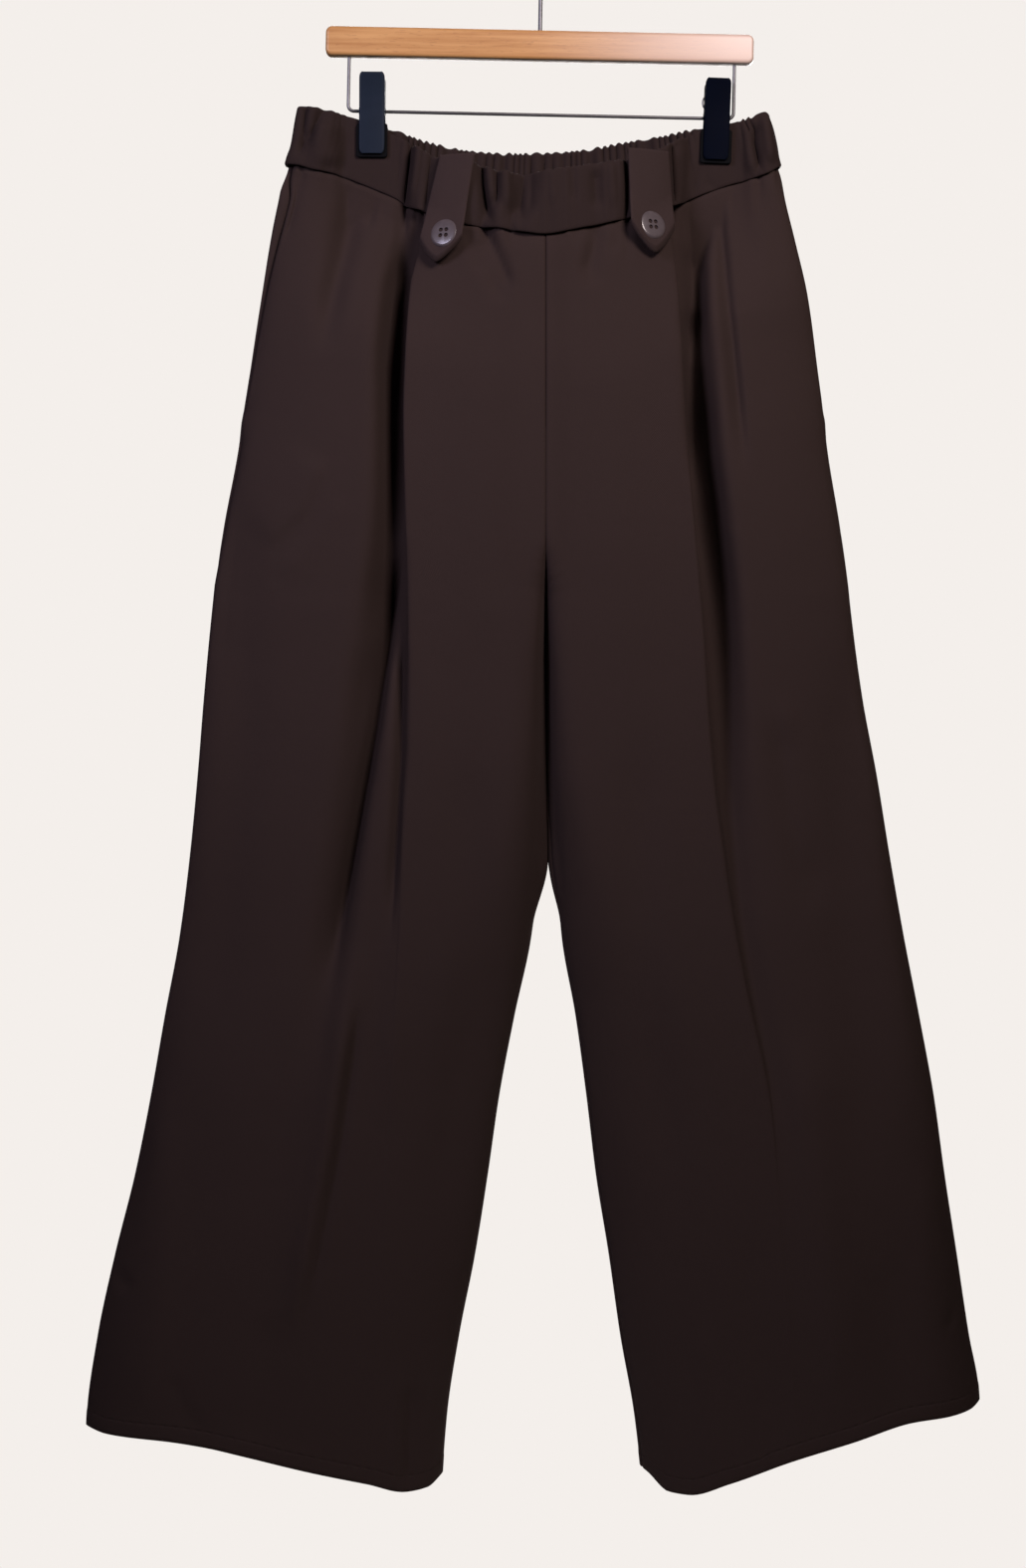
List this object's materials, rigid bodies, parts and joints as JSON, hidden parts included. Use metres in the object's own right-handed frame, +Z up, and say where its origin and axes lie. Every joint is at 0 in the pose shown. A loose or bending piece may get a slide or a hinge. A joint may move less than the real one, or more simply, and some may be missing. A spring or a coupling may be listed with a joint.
{
  "type": "wide-leg trousers on a clip hanger",
  "caption": "Dark wide-leg pull-on trousers with a gathered elastic waistband, buttoned waist tabs and front pleats, gripped at the waist by the clips of a wooden bar hanger.",
  "frame": {"origin": "inside of the hook's crown, where the hook rests on a rail", "axes": "+Z up, the front of the trousers faces -Y, the wearer's left is +X"},
  "size_m": [0.7002, 0.0896, 1.2282],
  "materials": {
    "trouser_cloth": "very dark brown matt crepe-like cloth, soft drape",
    "waistband_cloth": "the same cloth gathered over wide elastic, and folded into tabs",
    "pocketing": "thin dark lining cotton",
    "button_plastic": "dark brown moulded plastic with a soft gloss",
    "hanger_wood": "pale orange beech, satin lacquer",
    "hanger_steel": "bright drawn steel wire",
    "clip_plate": "blue-black painted steel plate",
    "clip_pad": "black rubber pad",
    "clip_spring": "zinc plated pivot barrel"
  },
  "bodies": {
    "root": {"leg_front_right": "trouser_cloth", "leg_front_left": "trouser_cloth", "leg_back_right": "trouser_cloth", "leg_back_left": "trouser_cloth", "waistband_front": "waistband_cloth", "waistband_back": "waistband_cloth", "tab_right": "waistband_cloth", "tab_left": "waistband_cloth", "pocket_bag_right": "pocketing", "pocket_bag_left": "pocketing", "button_right": "button_plastic", "button_left": "button_plastic", "hanger_bar": "hanger_wood", "hanger_wire": "hanger_steel", "hanger_hook": "hanger_steel", "clip_right_front_jaw": "clip_plate", "clip_right_back_jaw": "clip_plate", "clip_left_front_jaw": "clip_plate", "clip_left_back_jaw": "clip_plate", "clip_right_front_pad": "clip_pad", "clip_right_back_pad": "clip_pad", "clip_left_front_pad": "clip_pad", "clip_left_back_pad": "clip_pad", "clip_right_pivot": "clip_spring", "clip_left_pivot": "clip_spring"}
  },
  "joints": []
}
